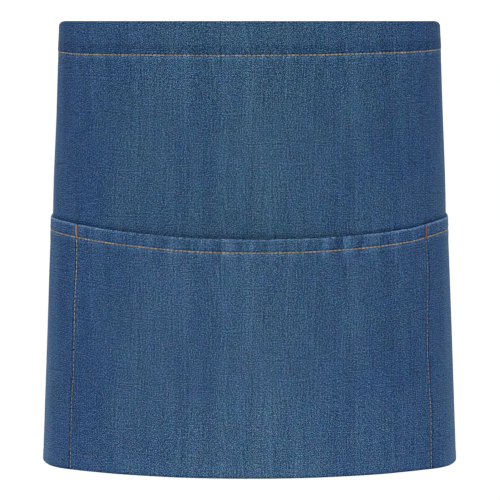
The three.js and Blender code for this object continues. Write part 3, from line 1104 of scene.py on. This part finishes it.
def make_denim(name, weave, colours, contrast):
    material, tree, shader = new_material(name)
    group = add_node(tree, "ShaderNodeGroup", node_tree=weave)
    tree.links.new(add_node(tree, "ShaderNodeUVMap", uv_map="flat").outputs[0], group.inputs["Flat"])
    for socket, attribute in (("Wear_and_painted_light", "wear_and_painted_light"), ("Fade", "fade_and_painted_light")):
        read = add_node(tree, "ShaderNodeAttribute", attribute_name=attribute)
        tree.links.new(read.outputs["Fac"], group.inputs[socket])
    for socket, colour in zip(("Deep", "Faded"), colours):
        group.inputs[socket].default_value = (*colour, 1)
    group.inputs["Contrast"].default_value = contrast
    tree.links.new(group.outputs["Color"], shader.inputs["Base Color"])
    tree.links.new(group.outputs["Roughness"], shader.inputs["Roughness"])
    tree.links.new(make_bump(tree, group.outputs["Height"], 0.0002), shader.inputs["Normal"])
    shader.inputs["Specular IOR Level"].default_value = 0.12
    return material


def make_thread_twist():
    """Spun thread: slanting plies, light and dark in turn, with paler and darker patches."""
    tree, given, out = new_group(
        "thread_twist",
        [
            ("Dark", "NodeSocketColor", (0, 0, 0, 1)),
            ("Light", "NodeSocketColor", (1, 1, 1, 1)),
        ],
        [("Color", "NodeSocketColor"), ("Height", "NodeSocketFloat")],
    )
    place = add_node(tree, "ShaderNodeTexCoord").outputs["Object"]
    wave = add_node(
        tree, "ShaderNodeTexWave", {"Vector": place, "Scale": 620, "Distortion": 1.5, "Detail": 1},
        bands_direction="DIAGONAL",
    )
    patches = stretched_noise(tree, place, (150, 150), 2)
    twist = calc(tree, "MULTIPLY_ADD", wave.outputs["Fac"], 0.35, 0.3)
    share = calc(tree, "MULTIPLY_ADD", patches, 1.8, twist, clamp=True)
    tree.links.new(tint(tree, share, given["Dark"], given["Light"]), out["Color"])
    tree.links.new(wave.outputs["Fac"], out["Height"])
    return tree


def make_thread(name, twist, colours):
    material, tree, shader = new_material(name)
    group = add_node(tree, "ShaderNodeGroup", node_tree=twist)
    for socket, colour in zip(("Dark", "Light"), colours):
        group.inputs[socket].default_value = (*colour, 1)
    tree.links.new(group.outputs["Color"], shader.inputs["Base Color"])
    tree.links.new(make_bump(tree, group.outputs["Height"], 0.0001), shader.inputs["Normal"])
    shader.inputs["Roughness"].default_value = 0.6
    shader.inputs["Specular IOR Level"].default_value = 0.3
    return material


def make_floor_paint():
    material, tree, shader = new_material("floor_paint")
    grit = stretched_noise(tree, add_node(tree, "ShaderNodeTexCoord").outputs["Object"], (3, 3), 2)
    level = calc(tree, "MULTIPLY_ADD", grit, 0.02, 0.5, clamp=True)
    white = tint(tree, level, (0.95, 0.95, 0.95, 1), (0.98, 0.98, 0.98, 1))
    tree.links.new(white, shader.inputs["Base Color"])
    shader.inputs["Roughness"].default_value = 0.9
    shader.inputs["Specular IOR Level"].default_value = 0.1
    return material


# Camera, light and floor

# The camera's lens in millimetres, its tilt downwards in degrees, and its place in metres
CAMERA_LENS = 190.99
CAMERA_TILT = 4.9447
CAMERA_PLACE = (0.0004, -2.419, 0.01643)

# The key light's strength, its spread in degrees and the way it shines, and how bright the white
# surroundings are as light and as seen
KEY_STRENGTH = math.pi * 0.62
KEY_SPREAD = 55
KEY_WAY = Vector((0.05, 0.85, -1.0))
SURROUND_LIGHT = 0.6
SURROUND_SEEN = 1.1

# The floor's height and half its size, in metres
FLOOR_HEIGHT = -0.985
FLOOR_REACH = 60


def make_camera():
    data = bpy.data.cameras.new("camera")
    data.lens = CAMERA_LENS
    data.sensor_width = 36
    data.clip_end = 200
    camera = bpy.data.objects.new("camera", data)
    camera.location = CAMERA_PLACE
    camera.rotation_euler = (math.radians(90 - CAMERA_TILT), 0, 0)
    bpy.context.scene.collection.objects.link(camera)
    bpy.context.scene.camera = camera


def make_studio():
    scene = bpy.context.scene
    scene.view_settings.view_transform = "Standard"
    key = bpy.data.lights.new("soft_key", "SUN")
    key.energy = KEY_STRENGTH
    key.angle = math.radians(KEY_SPREAD)
    lamp = bpy.data.objects.new("soft_key", key)
    lamp.rotation_euler = KEY_WAY.to_track_quat("-Z", "Y").to_euler()
    scene.collection.objects.link(lamp)
    world = bpy.data.worlds.new("white_studio")
    world.use_nodes = True
    scene.world = world
    tree = world.node_tree
    background = tree.nodes["Background"]
    background.inputs["Color"].default_value = (1, 1, 1, 1)
    seen = add_node(tree, "ShaderNodeLightPath").outputs["Is Camera Ray"]
    strength = calc(tree, "MULTIPLY_ADD", seen, SURROUND_SEEN - SURROUND_LIGHT, SURROUND_LIGHT)
    tree.links.new(strength, background.inputs["Strength"])
    bm = bmesh.new()
    bmesh.ops.create_grid(bm, x_segments=8, y_segments=8, size=FLOOR_REACH)
    bmesh.ops.translate(bm, verts=bm.verts, vec=(0, 0, FLOOR_HEIGHT))
    floor = add_piece("floor", mesh_of("floor", bm))
    floor.data.materials.append(make_floor_paint())


# The apron


def make_panel(denim, reverse):
    """The panel, with its waistband and its side hems turned in from the same cloth."""
    fold = TURNED_FOLD
    rows = spaced(
        (-WAIST_TURN - fold, -fold, 2.6), (-fold, fold, fold / 3), (fold, 21, 2), (21, 36, 0.6),
        (36, 48, 2), (48, 160, 5), (160, 195, 1.6), (195, PANEL_ENDS, 9),
    )
    panel = grid_piece("panel_cloth", side_columns(2.6, fold), rows, shape_panel)
    give_thickness(panel)
    nodes = ("apron_panel", "waistband", "side_hem_left", "side_hem_right")
    finish_piece(panel, "denim", [denim, reverse], *nodes)


def make_pocket(pocket_denim, reverse):
    """The pocket, with its mouth hem and the bottom hem turned from the same cloth."""
    fold, low_fold = TURNED_FOLD, BOTTOM_FOLD
    rows = spaced(
        (-POCKET_HEM, -fold, 2), (-fold, fold, fold / 3), (fold, 8, 1.4), (8, 15, 0.55),
        (15, 26, 1.8), (26, 192, 4), (192, POCKET_DEPTH - low_fold, 1.4),
        (POCKET_DEPTH - low_fold, POCKET_DEPTH + low_fold, low_fold / 4),
        (POCKET_DEPTH + low_fold, POCKET_DEPTH + BOTTOM_TURN, 1.8),
    )
    pocket = grid_piece("pocket_cloth", side_columns(1.85, SIDE_FOLD), rows, shape_pocket)
    give_thickness(pocket)
    nodes = ("pocket_panel", "pocket_hem", "bottom_hem")
    finish_piece(pocket, "denim", [pocket_denim, reverse], *nodes)


def make_long_stitching(tan):
    """The stitching that runs round the waistband and the pocket's hem."""
    across = np.linspace(-HALF_WIDTH + 1, HALF_WIDTH - 1, 500)
    waist = [(across, waist_line(across))]
    sew_line("waist_stitching", tan, waist, on_outer_face)
    sew_line("waist_stitching_inside", tan, waist, on_waistband_inside, inwards=True)
    hem = [(across, mouth_drop(across) + POCKET_STITCHING)]
    sew_line("pocket_stitching", tan, hem, on_pocket)


def make_seam_stitching(pale, tan):
    """The two pocket seams, as seen from the front and from inside."""
    tall = np.linspace(0, 1, 200)
    seams, inside_seams = [], []
    for side in (-1, 1):
        top = mouth_drop(side * TACK_ARC) + TACK_LENGTH
        drops = mix(top + 1, LENGTH - 1.2, tall)
        seams.append((side * seam_arc(np.full(200, side), drops), drops))
        drops = mix(top - 9, LENGTH - BOTTOM_TURN - 1, tall)
        inside_seams.append((side * seam_arc(np.full(200, side), drops), drops))
    sew_line("seam_stitching", pale, seams, on_pocket, stitch=SEAM_STITCH)
    sew_line("seam_stitching_inside", tan, inside_seams, on_panel_inside, inwards=True)


def make_side_stitching(tan):
    """The stitching of the side hems, above and below the pocket's mouth."""
    tall = np.linspace(0, 1, 200)
    mouth = mouth_drop(float(SIDE_STITCHING))
    edges = []
    for side in (-1, 1):
        arcs = np.full(200, side * SIDE_STITCHING)
        edges.append((arcs, mix(SIDE_STITCHING_STARTS, mouth - 1.5, tall)))
        edges.append((arcs, mix(mouth + 1.5, LENGTH - 3, tall)))
    sew_line("side_hem_stitching", tan, edges, on_outer_face)


def make_ties(denim, tan):
    """The two ties, their loose ends and the knot that joins them."""
    for side, word in ((-1, "left"), (1, "right")):
        tie = make_tie(f"tie_strap_{word}", side, denim, f"tie_{word}")
        tail = make_tail(f"tail_strap_{word}", side, denim, f"tie_tail_{word}")
    make_knot_core("knot_core", denim, "tie_knot")
    make_knot_turn("knot_wrap", denim, "tie_knot")
    make_tie_stitching("tie_stitching", tan)


def make_apron():
    weave = make_denim_weave()
    twist = make_thread_twist()
    denim = make_denim("washed_denim", weave, PANEL_INDIGO, 1.0)
    pocket_denim = make_denim("pocket_denim", weave, POCKET_INDIGO, 1.0)
    reverse = make_denim("denim_reverse", weave, REVERSE_GREY, 1.5)
    tan = make_thread("tan_thread", twist, TAN)
    pale = make_thread("pale_thread", twist, PALE)
    rust = make_thread("rust_thread", twist, RUST)
    # the rust thread again, darker, as painted shade for the bar tacks' flanks
    rust_in_painted_shade = make_thread("rust_thread_in_painted_shade", twist, RUST_IN_PAINTED_SHADE)

    make_panel(denim, reverse)
    make_pocket(pocket_denim, reverse)
    make_long_stitching(tan)
    make_seam_stitching(pale, tan)
    make_side_stitching(tan)
    make_tack("tack_threads_left", -1, rust_in_painted_shade, rust, "bar_tack_left")
    make_tack("tack_threads_right", 1, rust_in_painted_shade, rust, "bar_tack_right")
    make_ties(denim, tan)


make_camera()
make_apron()
make_studio()
